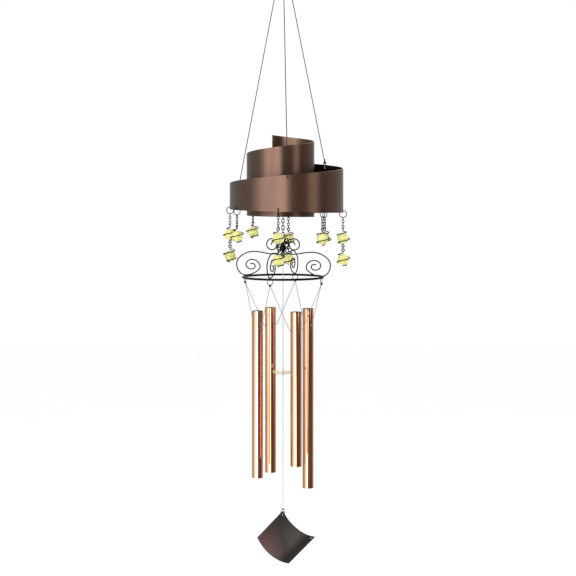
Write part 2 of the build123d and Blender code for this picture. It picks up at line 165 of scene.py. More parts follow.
def makeCanopyMetal():
    # brushed and darkened copper: fine grain across the strip, slow drifts of colour round it
    look = canopyFinish
    material, tree, shader = startMaterial("canopyMetal", Metallic=0.74, Anisotropic=0.6,
                                           Anisotropic_Rotation=0.25)
    drift = noiseOf(tree, placeOf(tree, (1, 6, 1), "stripPlace"), 9, 3, 0.5)
    base = rampOf(tree, drift, [(0.32, look["dark"]), (0.5, look["brown"]), (0.72, look["copper"])])
    tint = noiseOf(tree, placeOf(tree, (1, 0.6, 1), "stripPlace"), 27, 2)
    tinted = mixOf(tree, rangeOf(tree, tint, 0, 0.6, 0.52, 0.66), base, (*look["plum"], 1))
    greened = mixOf(tree, rangeOf(tree, tint, 0.55, 0, 0.36, 0.48), tinted, (*look["olive"], 1))
    grain = noiseOf(tree, placeOf(tree, (900, 60, 1), "stripPlace"), 2.4, 3, 0.7)
    brushed = mixOf(tree, rangeOf(tree, grain, 0, 0.3, 0.45, 0.75), greened, (*look["copper"], 1))
    # the faces inside the turns take painted shade: near-black at the foot, fading to the brushed colour
    # higher up
    inside = shadeNode(tree, "ShaderNodeAttribute", attribute_name="inside").outputs["Fac"]
    level = shadeNode(tree, "ShaderNodeSeparateXYZ", {0: placeOf(tree)}).outputs["Z"]
    shadedInside = mixOf(tree, rangeOf(tree, level, 0, 1, *look["innerFade"]), (*look["inner"], 1), brushed)
    withShadedInside = mixOf(tree, inside, brushed, shadedInside)
    cut = shadeNode(tree, "ShaderNodeAttribute", attribute_name="cutEdge").outputs["Fac"]
    tree.links.new(mixOf(tree, cut, withShadedInside, (*look["edge"], 1)), shader.inputs["Base Color"])
    tree.links.new(rangeOf(tree, grain, 0.26, 0.38), shader.inputs["Roughness"])
    bumpOf(tree, shader, grain, 0.1, 0.0003)
    return material


sailFinish = {"dark": (0.012, 0.012, 0.009), "olive": (0.024, 0.026, 0.018), "plum": (0.1, 0.052, 0.05),
              "rose": (0.17, 0.085, 0.08),
              "litPlumToShadedOlive": (-0.02, 0.012), "wander": 0.03}  # metres across, from the lighter plum at the left, part patina and part painted light, to the darker olive at the right, part patina and part painted shade


def makeSailMetal():
    look = sailFinish
    material, tree, shader = startMaterial("sailMetal", Metallic=0.7)
    drift = noiseOf(tree, placeOf(tree, (1, 1, 0.5)), 30, 4, 0.55)
    # the left takes a lighter plum, painted light, and the right a near-black olive, painted shade, over a
    # real plum-to-olive patina
    plumLit = rampOf(tree, drift, [(0.34, look["plum"]), (0.7, look["rose"])])
    oliveShaded = rampOf(tree, drift, [(0.34, look["dark"]), (0.7, look["olive"])])
    across = shadeNode(tree, "ShaderNodeSeparateXYZ", {0: placeOf(tree)}).outputs["X"]
    wander = shadeNode(tree, "ShaderNodeMath", {0: drift, 1: look["wander"], 2: across},
                       operation="MULTIPLY_ADD")
    base = mixOf(tree, rangeOf(tree, wander.outputs[0], 0, 1, *look["litPlumToShadedOlive"]), plumLit, oliveShaded)
    grain = noiseOf(tree, placeOf(tree, (260, 260, 16)), 4, 3, 0.7)
    tree.links.new(mixOf(tree, rangeOf(tree, grain, 0, 0.15), base, (*look["rose"], 1)),
                   shader.inputs["Base Color"])
    tree.links.new(rangeOf(tree, grain, 0.34, 0.46), shader.inputs["Roughness"])
    bumpOf(tree, shader, grain, 0.1, 0.0003)
    return material


# the bore colours are painted shade for the inside and upper rim of each tube
tubeFinish = {"bright": (0.9, 0.5, 0.33), "deep": (0.78, 0.36, 0.2), "tarnish": (0.34, 0.14, 0.08),
              "bore": (0.012, 0.006, 0.004), "shadeMottle": (0.004, 0.003, 0.002)}


def makeTubeCopper():
    # polished copper: faint drawing lines along the tube and a little tarnish
    look = tubeFinish
    material, tree, shader = startMaterial("tubeCopper", Metallic=1.0)
    clouds = noiseOf(tree, placeOf(tree, (1, 1, 0.2)), 20, 4, 0.55)
    base = rampOf(tree, clouds, [(0.32, look["deep"]), (0.6, look["bright"])])
    spots = noiseOf(tree, placeOf(tree, (1, 1, 0.6)), 190, 4, 0.6)
    tree.links.new(mixOf(tree, rangeOf(tree, spots, 0, 0.2, 0.62, 0.76), base, (*look["tarnish"], 1)),
                   shader.inputs["Base Color"])
    lines = noiseOf(tree, placeOf(tree, (1400, 1400, 7)), 1, 2, 0.6)
    tree.links.new(rangeOf(tree, lines, 0.05, 0.12), shader.inputs["Roughness"])
    bumpOf(tree, shader, lines, 0.012, 0.0001)
    return material


def makeTubeBore():
    # the inside and the upper rim of a tube, dull and painted dark as shade
    material, tree, shader = startMaterial("tubeBore", Metallic=0.4)
    shadeMottle = noiseOf(tree, placeOf(tree, (1, 1, 0.3)), 130, 4, 0.6)
    tree.links.new(rampOf(tree, shadeMottle, [(0.3, tubeFinish["shadeMottle"]), (0.75, tubeFinish["bore"])]),
                   shader.inputs["Base Color"])
    tree.links.new(rangeOf(tree, shadeMottle, 0.55, 0.75), shader.inputs["Roughness"])
    bumpOf(tree, shader, shadeMottle, 0.15, 0.0002)
    return material


wireFinish = {"black": (0.003, 0.0026, 0.0023), "bronze": (0.012, 0.009, 0.0065),
              "worn": (0.07, 0.05, 0.036)}
steelFinish = {"dull": (0.16, 0.15, 0.14), "bright": (0.4, 0.39, 0.37)}


def makeDarkWire(name, wornShare, roughness):
    # near-black bronze coat, rubbed through in spots
    look = wireFinish
    material, tree, shader = startMaterial(name, Metallic=0.85)
    clouds = noiseOf(tree, placeOf(tree), 70, 5, 0.6)
    base = rampOf(tree, clouds, [(0.35, look["black"]), (0.65, look["bronze"])])
    rubbed = noiseOf(tree, placeOf(tree), 420, 4, 0.7)
    edge = 0.72 - wornShare * 0.2
    tree.links.new(mixOf(tree, rangeOf(tree, rubbed, 0, 0.8, edge, edge + 0.12), base, (*look["worn"], 1)),
                   shader.inputs["Base Color"])
    tree.links.new(rangeOf(tree, rubbed, roughness, roughness + 0.16), shader.inputs["Roughness"])
    bumpOf(tree, shader, rubbed, 0.15, 0.0002)
    return material


def makeRingSteel():
    material, tree, shader = startMaterial("ringSteel", Metallic=1.0)
    clouds = noiseOf(tree, placeOf(tree), 240, 5, 0.65)
    tree.links.new(rampOf(tree, clouds, [(0.3, steelFinish["dull"]), (0.7, steelFinish["bright"])]),
                   shader.inputs["Base Color"])
    tree.links.new(rangeOf(tree, clouds, 0.28, 0.45), shader.inputs["Roughness"])
    bumpOf(tree, shader, clouds, 0.12, 0.0002)
    return material


cordFinish = {"dark": (0.003, 0.003, 0.003), "grey": (0.014, 0.014, 0.014),
              "lineShade": (0.12, 0.115, 0.105), "line": (0.34, 0.33, 0.31),
              "paleShade": (0.3, 0.32, 0.32), "pale": (0.52, 0.55, 0.55)}


def makeCordFabric(name, shade, light, strand):
    # twisted strands: slanting bands, with fuzz between them
    material, tree, shader = startMaterial(name, Roughness=0.85)
    place = placeOf(tree, (1, 1, 0.55))
    bands = shadeNode(tree, "ShaderNodeTexWave", {
        "Vector": place, "Scale": strand, "Distortion": 1.2, "Detail": 2.0, "Detail Scale": 3.0},
        wave_type="BANDS", bands_direction="DIAGONAL", wave_profile="SIN").outputs["Fac"]
    fuzz = noiseOf(tree, place, 2400, 3, 0.7)
    height = mixOf(tree, 0.3, bands, fuzz)
    tree.links.new(rampOf(tree, height, [(0.15, shade), (0.8, light)]), shader.inputs["Base Color"])
    bumpOf(tree, shader, height, 0.6, 0.0003)
    return material


glassFinish = {"clear": (1.0, 0.99, 0.52), "yellow": (0.98, 0.95, 0.3), "amber": (0.97, 0.9, 0.24)}
resinFinish = {"tan": (0.86, 0.74, 0.5), "cream": (0.97, 0.93, 0.8)}


def makeBeadGlass():
    # lemon glass with a soft swirl and fine seeds
    look = glassFinish
    material, tree, shader = startMaterial("beadGlass", IOR=1.4, Transmission_Weight=0.5, Coat_Weight=0.3,
                                           Coat_Roughness=0.03)
    swirl = noiseOf(tree, placeOf(tree, (1, 1, 2.2)), 110, 4, 0.6, 1.6)
    stops = [(0.26, look["amber"]), (0.42, look["yellow"]), (0.62, look["clear"])]
    tree.links.new(rampOf(tree, swirl, stops), shader.inputs["Base Color"])
    seeds = noiseOf(tree, placeOf(tree), 900, 3, 0.7)
    tree.links.new(rangeOf(tree, seeds, 0.08, 0.16), shader.inputs["Roughness"])
    bumpOf(tree, shader, swirl, 0.05, 0.0003)
    return material


def makeClapperResin():
    material, tree, shader = startMaterial("clapperResin", IOR=1.4, Transmission_Weight=0.85)
    clouds = noiseOf(tree, placeOf(tree, (1, 1, 3)), 90, 4, 0.6, 0.8)
    tree.links.new(rampOf(tree, clouds, [(0.3, resinFinish["tan"]), (0.7, resinFinish["cream"])]),
                   shader.inputs["Base Color"])
    scratches = noiseOf(tree, placeOf(tree, (30, 400, 30)), 6, 3, 0.7)
    tree.links.new(rangeOf(tree, scratches, 0.1, 0.28), shader.inputs["Roughness"])
    bumpOf(tree, shader, scratches, 0.1, 0.0002)
    return material


canopyMetal = makeCanopyMetal()
sailMetal = makeSailMetal()
tubeCopper = makeTubeCopper()
tubeBore = makeTubeBore()
fineWire = makeDarkWire("fineWire", 0.5, 0.34)
frameWire = makeDarkWire("frameWire", 0.3, 0.3)
ringSteel = makeRingSteel()
darkCord = makeCordFabric("darkCord", cordFinish["dark"], cordFinish["grey"], 520)
tubeLine = makeCordFabric("tubeLine", cordFinish["lineShade"], cordFinish["line"], 700)
paleCord = makeCordFabric("paleCord", cordFinish["paleShade"], cordFinish["pale"], 620)
beadGlass = makeBeadGlass()
clapperResin = makeClapperResin()
print("finishes mixed:", len(bpy.data.materials))


def startTree(name, inputs):
    tree = bpy.data.node_groups.new(name, "GeometryNodeTree")
    tree.interface.new_socket(name="Geometry", in_out="OUTPUT", socket_type="NodeSocketGeometry")
    kinds = {float: "NodeSocketFloat", int: "NodeSocketInt", tuple: "NodeSocketVector"}
    for label, value in inputs.items():
        if isinstance(value, bpy.types.Material):
            kind = "NodeSocketMaterial"
        elif isinstance(value, bpy.types.Object):
            kind = "NodeSocketObject"
        else:
            kind = kinds[type(value)]
        socket = tree.interface.new_socket(name=label, in_out="INPUT", socket_type=kind)
        if kind in ("NodeSocketFloat", "NodeSocketInt", "NodeSocketVector"):
            socket.default_value = value
    return tree, tree.nodes.new("NodeGroupInput").outputs


def node(tree, kind, values=None, **settings):
    made = tree.nodes.new(kind)
    for label, value in settings.items():
        setattr(made, label, value)
    for label, value in (values or {}).items():
        if isinstance(value, bpy.types.NodeSocket):
            tree.links.new(value, made.inputs[label])
        else:
            made.inputs[label].default_value = value
    return made


def maths(tree, operation, first, second=0.0):
    return node(tree, "ShaderNodeMath", {0: first, 1: second}, operation=operation).outputs[0]


def vectorOf(tree, x=0.0, y=0.0, z=0.0):
    return node(tree, "ShaderNodeCombineXYZ", {0: x, 1: y, 2: z}).outputs[0]


def moved(tree, geometry, shift=None, turn=None, scale=None):
    values = {"Geometry": geometry}
    if shift is not None:
        values["Translation"] = shift
    if turn is not None:
        values["Rotation"] = turn
    if scale is not None:
        values["Scale"] = scale
    return node(tree, "GeometryNodeTransform", values).outputs[0]


def joined(tree, *parts):
    join = tree.nodes.new("GeometryNodeJoinGeometry")
    for part in reversed(parts):
        tree.links.new(part, join.inputs[0])
    return join.outputs[0]


def wired(tree, curve, radius, sides=10):
    # a round wire of this radius along a curve
    profile = node(tree, "GeometryNodeCurvePrimitiveCircle", {"Resolution": sides, "Radius": radius})
    return node(tree, "GeometryNodeCurveToMesh", {
        "Curve": curve, "Profile Curve": profile.outputs["Curve"], "Fill Caps": True}).outputs["Mesh"]


def uprightRing(tree, radius, wireRadius, height, around=28):
    # a wire ring in the XZ plane
    circle = node(tree, "GeometryNodeCurvePrimitiveCircle", {"Resolution": around, "Radius": radius})
    ring = wired(tree, circle.outputs["Curve"], wireRadius)
    return moved(tree, ring, vectorOf(tree, z=height), (math.pi / 2, 0, 0))


def finishTree(tree, geometry, material):
    # instances become real, and the whole piece takes its material
    real = node(tree, "GeometryNodeRealizeInstances", {"Geometry": geometry}).outputs[0]
    smooth = node(tree, "GeometryNodeSetShadeSmooth", {"Geometry": real}).outputs[0]
    painted = node(tree, "GeometryNodeSetMaterial", {"Geometry": smooth, "Material": material}).outputs[0]
    out = tree.nodes.new("NodeGroupOutput")
    tree.links.new(painted, out.inputs[0])


def grow(name, tree, values, angle=45):
    # run a tree with these inputs, and keep its result as a plain mesh
    seed = addObject(name, bpy.data.meshes.new(name + "Seed"))
    modifier = seed.modifiers.new("Shape", "NODES")
    modifier.node_group = tree
    for item in tree.interface.items_tree:
        if item.item_type == "SOCKET" and item.in_out == "INPUT" and item.name in values:
            modifier[item.identifier] = values[item.name]
    bpy.context.view_layer.update()
    graph = bpy.context.evaluated_depsgraph_get()
    mesh = bpy.data.meshes.new_from_object(seed.evaluated_get(graph), preserve_all_data_layers=True,
                                           depsgraph=graph)
    mesh.name = name
    seed.modifiers.clear()
    seed.data = mesh
    smoothMesh(mesh, angle, outward=True)
    return seed


canopyShape = {
    "crossings": (-76.8, 87.0, -52.2, 45.0, -42.0),  # where the strip crosses X at each half turn
    "start": 120.0, "end": 834.0, "stations": 420, "rows": 9, "thickness": 1.0,
    "firstTop": -361.25, "topRise": 23.3, "topEase": -0.95,
    "firstFoot": -398.15, "footFall": -6.2, "footEase": 0.8,
    "hangHoles": (149, 271, 410), "hangHoleDepth": 4.0, "hangHoleRadius": 1.3,
    "beadHoles": (128, 180, 211, 262, 308, 355, 410, 457.8), "beadHoleRise": 3.75, "beadHoleRadius": 1.5,
    "wireHoleHeight": -383.7, "wireHoleRadius": 1.1, "wireHoles": (-52.2, 45.0), "bitLength": 6.0,
}


def stripHeights(turn):
    halfTurns = (turn - 180) / 180
    shape = canopyShape
    top = shape["firstTop"] + shape["topRise"] * halfTurns + shape["topEase"] * halfTurns ** 2
    foot = shape["firstFoot"] + shape["footFall"] * halfTurns + shape["footEase"] * halfTurns ** 2
    return top, foot


def stripPlace(turn, height):
    crossings = canopyShape["crossings"]
    half = min(max(int((turn - 180) // 180), 0), len(crossings) - 2)
    centre = (crossings[half] + crossings[half + 1]) / 2
    radius = abs(crossings[half + 1] - crossings[half]) / 2
    return (Vector((centre, 0, height)) + levelVector(turn, radius)) * mm


def drillBits():
    # round bits where the strip is pierced, set square to it
    shape = canopyShape
    spots = [(stripPlace(turn, stripHeights(turn)[0] - shape["hangHoleDepth"]), turn,
              shape["hangHoleRadius"]) for turn in shape["hangHoles"]]
    spots += [(stripPlace(turn, stripHeights(turn)[1] + shape["beadHoleRise"]), turn,
               shape["beadHoleRadius"]) for turn in shape["beadHoles"]]
    spots += [(Vector(inMetres(across, 0, shape["wireHoleHeight"])), 0, shape["wireHoleRadius"])
              for across in shape["wireHoles"]]
    work = bmesh.new()
    for place, turn, radius in spots:
        facing = (Matrix.Translation(place) @ Matrix.Rotation(math.radians(turn), 4, "Z")
                  @ Matrix.Rotation(math.pi / 2, 4, "Y"))
        bmesh.ops.create_cone(work, cap_ends=True, segments=24, radius1=radius * mm, radius2=radius * mm,
                              depth=shape["bitLength"] * mm, matrix=facing)
    mesh = bpy.data.meshes.new("drillBits")
    work.to_mesh(mesh)
    work.free()
    return addObject("drillBits", mesh)


def spiralTree(bits):
    shape = canopyShape
    tree, given = startTree("spiralStrip", {
        "Start": shape["start"], "End": shape["end"], "Thickness": shape["thickness"] * mm,
        "First Top": shape["firstTop"] * mm, "Top Rise": shape["topRise"] * mm,
        "Top Ease": shape["topEase"] * mm, "First Foot": shape["firstFoot"] * mm,
        "Foot Fall": shape["footFall"] * mm, "Foot Ease": shape["footEase"] * mm,
        "Stations": shape["stations"], "Rows": shape["rows"],
        "Drill Bits": bits, "Metal": canopyMetal})
    grid = node(tree, "GeometryNodeMeshGrid", {
        "Size X": 1.0, "Size Y": 1.0, "Vertices X": given["Stations"], "Vertices Y": given["Rows"]})
    flat = node(tree, "ShaderNodeSeparateXYZ", {0: node(tree, "GeometryNodeInputPosition").outputs[0]})
    share = maths(tree, "ADD", flat.outputs[0], 0.5)
    level = maths(tree, "ADD", flat.outputs[1], 0.5)
    span = maths(tree, "SUBTRACT", given["End"], given["Start"])
    turn = maths(tree, "ADD", maths(tree, "MULTIPLY", span, share), given["Start"])
    halfTurns = maths(tree, "DIVIDE", maths(tree, "SUBTRACT", turn, 180.0), 180.0)
    squared = maths(tree, "MULTIPLY", halfTurns, halfTurns)

    def edge(first, slope, ease):
        sloped = maths(tree, "ADD", given[first], maths(tree, "MULTIPLY", given[slope], halfTurns))
        return maths(tree, "ADD", sloped, maths(tree, "MULTIPLY", given[ease], squared))

    top = edge("First Top", "Top Rise", "Top Ease")
    foot = edge("First Foot", "Foot Fall", "Foot Ease")
    height = maths(tree, "ADD", foot, maths(tree, "MULTIPLY", maths(tree, "SUBTRACT", top, foot), level))
    # each half turn is an arc between two crossings
    crossings = shape["crossings"]
    centre, radius = None, None
    whichHalf = maths(tree, "FLOOR", maths(tree, "MAXIMUM", halfTurns, 0.0))
    for half in range(len(crossings) - 1):
        middle = (crossings[half] + crossings[half + 1]) / 2 * mm
        reach = abs(crossings[half + 1] - crossings[half]) / 2 * mm
        chosen = maths(tree, "COMPARE", whichHalf, float(half))
        chosen.node.inputs[2].default_value = 0.25
        middlePart = maths(tree, "MULTIPLY", chosen, middle)
        reachPart = maths(tree, "MULTIPLY", chosen, reach)
        centre = middlePart if centre is None else maths(tree, "ADD", centre, middlePart)
        radius = reachPart if radius is None else maths(tree, "ADD", radius, reachPart)
    angle = maths(tree, "RADIANS", turn)
    outX, outY = maths(tree, "COSINE", angle), maths(tree, "SINE", angle)
    innerRadius = maths(tree, "SUBTRACT", radius, maths(tree, "DIVIDE", given["Thickness"], 2.0))
    place = vectorOf(tree, maths(tree, "ADD", centre, maths(tree, "MULTIPLY", innerRadius, outX)),
                     maths(tree, "MULTIPLY", innerRadius, outY), height)
    along = maths(tree, "MULTIPLY", angle, radius)
    stored = node(tree, "GeometryNodeStoreNamedAttribute", {
        "Geometry": grid.outputs["Mesh"], "Name": "stripPlace", "Value": vectorOf(tree, along, height)},
        data_type="FLOAT_VECTOR", domain="POINT")
    outward = node(tree, "GeometryNodeStoreNamedAttribute", {
        "Geometry": stored.outputs[0], "Name": "outward", "Value": vectorOf(tree, outX, outY)},
        data_type="FLOAT_VECTOR", domain="POINT")
    inner = node(tree, "GeometryNodeSetPosition", {
        "Geometry": outward.outputs[0], "Position": place}).outputs[0]
    # the inner faces are marked inside, where the canopy metal paints shade
    shadedInside = node(tree, "GeometryNodeStoreNamedAttribute", {
        "Geometry": inner, "Name": "inside", "Value": 1.0}, data_type="FLOAT", domain="FACE").outputs[0]
    direction = node(tree, "GeometryNodeInputNamedAttribute", {"Name": "outward"}, data_type="FLOAT_VECTOR")
    push = node(tree, "GeometryNodeExtrudeMesh", {
        "Mesh": inner, "Offset": direction.outputs["Attribute"], "Offset Scale": given["Thickness"],
        "Individual": False}, mode="FACES")
    cut = node(tree, "GeometryNodeStoreNamedAttribute", {
        "Geometry": push.outputs["Mesh"], "Name": "cutEdge", "Selection": push.outputs["Side"],
        "Value": 1.0}, data_type="FLOAT", domain="FACE").outputs[0]
    flipped = node(tree, "GeometryNodeFlipFaces", {"Mesh": shadedInside}).outputs[0]
    closed = node(tree, "GeometryNodeMergeByDistance", {
        "Geometry": joined(tree, cut, flipped), "Distance": 1e-6}).outputs[0]
    tools = node(tree, "GeometryNodeObjectInfo", {"Object": given["Drill Bits"]}).outputs["Geometry"]
    pierced = node(tree, "GeometryNodeMeshBoolean", {"Mesh 1": closed}, operation="DIFFERENCE",
                   solver="EXACT")
    tree.links.new(tools, pierced.inputs["Mesh 2"])
    finishTree(tree, pierced.outputs["Mesh"], given["Metal"])
    return tree


def makeCanopy():
    bits = drillBits()
    tree = spiralTree(bits)
    canopy = grow("canopySpiral", tree, {
        "Drill Bits": bits, "Metal": canopyMetal, "Stations": canopyShape["stations"],
        "Rows": canopyShape["rows"]}, 35)
    bpy.data.objects.remove(bits)
    dress(canopy, "canopy", "canopy", "canopy_spiral")
    print("canopy rolled:", len(canopy.data.polygons), "faces")


makeCanopy()


pendantShape = {
    "jumpRingRadius": 5.05, "jumpRingWire": 0.57, "chainTop": -8.95, "linkLength": 6.05, "linkWidth": 3.9,
    "linkWire": 0.5, "linkPitch": 4.0, "links": 4, "cageHeight": -39.55, "lowerCageHeight": -70.05,
    "footEyeHeight": -51.15, "footEyeRadius": 1.8, "linkRingHeight": -54.1, "linkRingRadius": 2.4,
    "cageWire": 0.7, "cageWide": 9.8, "cageTall": 9.8, "cageTurns": 1.75, "cageReach": 62.0,
    "cageSteps": 90, "neck": 1.0, "eyeRadius": 2.0,
}
pendants = (  # turn along the strip, where its jump ring hangs, and whether a second bead follows
    (128, (-45.32, 64.54, -393.14), False), (180, (-76.8, 0.0, -395.0), True),
    (211, (-65.1, -42.18, -396.04), False), (262, (-6.3, -81.1, -397.66), True),
    (308, (55.52, -64.54, -399.0), False), (355, (86.69, -7.14, -400.27), True),
    (410, (62.14, 53.32, -401.62), False), (457.8, (7.95, 68.96, -402.66), True),
)


def linkRun(tree, length, width, wireRadius, top, pitch, count):
    # oval links, each turned a quarter from the one above
    bow = width / 2 - wireRadius
    straight = length / 2 - wireRadius - bow
    circle = node(tree, "GeometryNodeCurvePrimitiveCircle", {"Resolution": 24, "Radius": bow})
    flat = node(tree, "ShaderNodeSeparateXYZ", {0: node(tree, "GeometryNodeInputPosition").outputs[0]})
    lifted = maths(tree, "ADD", flat.outputs[1],
                   maths(tree, "MULTIPLY", maths(tree, "SIGN", flat.outputs[1]), straight))
    oval = node(tree, "GeometryNodeSetPosition", {
        "Geometry": circle.outputs["Curve"],
        "Position": vectorOf(tree, flat.outputs[0], 0.0, lifted)}).outputs[0]
    link = wired(tree, oval, wireRadius, 8)
    line = node(tree, "GeometryNodeMeshLine", {
        "Count": count, "Start Location": (0, 0, top - length / 2 + wireRadius), "Offset": (0, 0, -pitch)})
    index = node(tree, "GeometryNodeInputIndex").outputs[0]
    quarter = maths(tree, "MULTIPLY", maths(tree, "MODULO", maths(tree, "ADD", index, 1.0), 2.0),
                    math.pi / 2)
    turned = node(tree, "FunctionNodeEulerToRotation", {0: vectorOf(tree, z=quarter)}).outputs[0]
    return node(tree, "GeometryNodeInstanceOnPoints", {
        "Points": line.outputs["Mesh"], "Instance": link, "Rotation": turned}).outputs[0]


def wireCage(tree, given, height, quarterTurn=0):
    # a wire wound round the bead from foot to crown, with a neck and an eye above it
    shape = pendantShape
    steps = shape["cageSteps"]
    line = node(tree, "GeometryNodeCurvePrimitiveLine", {"Start": (0, 0, 0), "End": (0, 0, 1)})
    points = node(tree, "GeometryNodeResampleCurve", {"Curve": line.outputs[0], "Count": steps})
    index = node(tree, "GeometryNodeInputIndex").outputs[0]
    share = maths(tree, "DIVIDE", index, float(steps - 1))
    slope = maths(tree, "RADIANS", maths(tree, "MULTIPLY", given["Reach"],
                                         maths(tree, "SUBTRACT", maths(tree, "MULTIPLY", share, 2.0), 1.0)))
    angle = maths(tree, "MULTIPLY", maths(tree, "MULTIPLY", given["Turns"], share), 2 * math.pi)
    level = maths(tree, "MULTIPLY", maths(tree, "COSINE", slope), given["Wide"])
    place = vectorOf(tree, maths(tree, "MULTIPLY", level, maths(tree, "COSINE", angle)),
                     maths(tree, "MULTIPLY", level, maths(tree, "SINE", angle)),
                     maths(tree, "MULTIPLY", maths(tree, "SINE", slope), given["Tall"]))
    winding = node(tree, "GeometryNodeSetPosition", {
        "Geometry": points.outputs[0], "Position": place}).outputs[0]
    reach = math.radians(shape["cageReach"])
    wide, tall = shape["cageWide"] * mm, shape["cageTall"] * mm
    last = 2 * math.pi * shape["cageTurns"]
    rim, rise = wide * math.cos(reach), tall * math.sin(reach)
    upperEnd = (rim * math.cos(last), rim * math.sin(last), rise)
    upperArm = node(tree, "GeometryNodeCurvePrimitiveLine", {
        "Start": upperEnd, "End": (0, 0, tall)}).outputs[0]
    lowerArm = node(tree, "GeometryNodeCurvePrimitiveLine", {
        "Start": (rim, 0, -rise), "End": (0, 0, -tall)}).outputs[0]
    neckTop = tall + shape["neck"] * mm
    neck = node(tree, "GeometryNodeCurvePrimitiveLine", {
        "Start": (0, 0, tall), "End": (0, 0, neckTop)}).outputs[0]
    wires = [wired(tree, curve, given["Wire"], 8) for curve in (winding, upperArm, lowerArm, neck)]
    eye = uprightRing(tree, shape["eyeRadius"] * mm, given["Wire"], neckTop + shape["eyeRadius"] * mm)
    tips = []
    for tip in ((0, 0, tall), (0, 0, -tall), (rim, 0, -rise), upperEnd):
        bead = node(tree, "GeometryNodeMeshIcoSphere", {"Radius": given["Wire"], "Subdivisions": 2})
        tips.append(moved(tree, bead.outputs[0], tip))
    return moved(tree, joined(tree, *wires, eye, *tips), vectorOf(tree, z=height * mm),
                 (0, 0, quarterTurn * math.pi / 2))


cageInputs = {"Reach": pendantShape["cageReach"], "Turns": pendantShape["cageTurns"],
              "Wide": pendantShape["cageWide"] * mm, "Tall": pendantShape["cageTall"] * mm,
              "Wire": pendantShape["cageWire"] * mm, "Place": (0.0, 0.0, 0.0), "Facing": 0.0}


def pendantTree(double):
    shape = pendantShape
    name = "doublePendant" if double else "singlePendant"
    tree, given = startTree(name, {**cageInputs, "Metal": fineWire})
    jumpRing = uprightRing(tree, shape["jumpRingRadius"] * mm, shape["jumpRingWire"] * mm,
                           -shape["jumpRingRadius"] * mm, 36)
    links = linkRun(tree, shape["linkLength"] * mm, shape["linkWidth"] * mm, shape["linkWire"] * mm,
                    shape["chainTop"] * mm, shape["linkPitch"] * mm, shape["links"])
    parts = [jumpRing, links, wireCage(tree, given, shape["cageHeight"], 1)]
    if double:
        parts.append(uprightRing(tree, shape["footEyeRadius"] * mm, shape["cageWire"] * mm,
                                 shape["footEyeHeight"] * mm))
    whole = moved(tree, joined(tree, *parts), given["Place"], vectorOf(tree, z=given["Facing"]))
    finishTree(tree, whole, given["Metal"])
    return tree


def lowerTree():
    shape = pendantShape
    tree, given = startTree("lowerBead", {**cageInputs, "Metal": fineWire})
    ring = uprightRing(tree, shape["linkRingRadius"] * mm, shape["linkWire"] * mm, 0.0)
    turnedRing = moved(tree, ring, vectorOf(tree, z=shape["linkRingHeight"] * mm), (0, 0, math.pi / 2))
    whole = moved(tree, joined(tree, turnedRing, wireCage(tree, given, shape["lowerCageHeight"])),
                  given["Place"], vectorOf(tree, z=given["Facing"]))
    finishTree(tree, whole, given["Metal"])
    return tree


def makePendants():
    single, double, lower = pendantTree(False), pendantTree(True), lowerTree()
    for number, (turn, place, second) in enumerate(pendants, 1):
        body = f"pendant_{number}"
        given = {"Place": inMetres(*place), "Facing": math.radians(turn), "Metal": fineWire}
        wires = grow(f"pendant{number}Wires", double if second else single, given)
        dress(wires, body, "wire", f"{body}_chain", f"{body}_cage")
        polished(f"{body}_glass", f"pendant{number}Glass", body, "bead", beadGlass)
        if second:
            below = grow(f"pendant{number}LowerWires", lower, given)
            dress(below, f"{body}_lower", "wire", f"{body}_lower_cage")
            polished(f"{body}_lower_glass", f"pendant{number}LowerGlass", f"{body}_lower", "bead", beadGlass)
    print("pendants hung:", len(pendants))


makePendants()


centreChain = {"count": 11, "length": 7.4, "width": 4.8, "wire": 0.6, "top": -387.35, "pitch": 4.95}


def makeCentreChain():
    shape = centreChain
    tree, given = startTree("centreLinks", {"Metal": fineWire})
    links = linkRun(tree, shape["length"] * mm, shape["width"] * mm, shape["wire"] * mm,
                    shape["top"] * mm, shape["pitch"] * mm, shape["count"])
    finishTree(tree, links, given["Metal"])
    chain = grow("centreChainLinks", tree, {"Metal": fineWire})
    dress(chain, "centre_chain", "wire", "centre_chain")
    print("centre chain linked")


makeCentreChain()


def knotTree():
    # an overhand knot: a wound loop that goes three times through itself
    tree, given = startTree("tiedKnot", {"Size": 0.0015, "Cord": 0.0005, "Place": (0.0, 0.0, 0.0),
                                         "Facing": (0.0, 0.0, 0.0), "Fabric": darkCord})
    around, lift, coreShare = 64, -1.6, 0.55  # points in the loop, its rise and fall, size of its core
    circle = node(tree, "GeometryNodeCurvePrimitiveCircle", {"Resolution": around, "Radius": 1.0})
    index = node(tree, "GeometryNodeInputIndex").outputs[0]
    angle = maths(tree, "MULTIPLY", index, 2 * math.pi / around)
    double = maths(tree, "MULTIPLY", angle, 2.0)
    reach = maths(tree, "DIVIDE", maths(tree, "SUBTRACT", given["Size"], given["Cord"]), 3.0)

    def shaped(value):
        return maths(tree, "MULTIPLY", value, reach)

    def twice(operation):
        return maths(tree, "MULTIPLY", maths(tree, operation, double), 2.0)

    x = shaped(maths(tree, "ADD", maths(tree, "SINE", angle), twice("SINE")))
    y = shaped(maths(tree, "SUBTRACT", maths(tree, "COSINE", angle), twice("COSINE")))
    z = shaped(maths(tree, "MULTIPLY", maths(tree, "SINE", maths(tree, "MULTIPLY", angle, 3.0)), lift))
    loop = node(tree, "GeometryNodeSetPosition", {
        "Geometry": circle.outputs["Curve"], "Position": vectorOf(tree, x, y, z)}).outputs[0]
    strand = wired(tree, loop, given["Cord"], 10)
    core = node(tree, "GeometryNodeMeshIcoSphere", {"Radius": 1.0, "Subdivisions": 3}).outputs[0]
    filling = moved(tree, core, scale=maths(tree, "MULTIPLY", given["Size"], coreShare))
    whole = moved(tree, joined(tree, strand, filling), given["Place"], given["Facing"])
    finishTree(tree, whole, given["Fabric"])
    return tree


tiedKnot = knotTree()


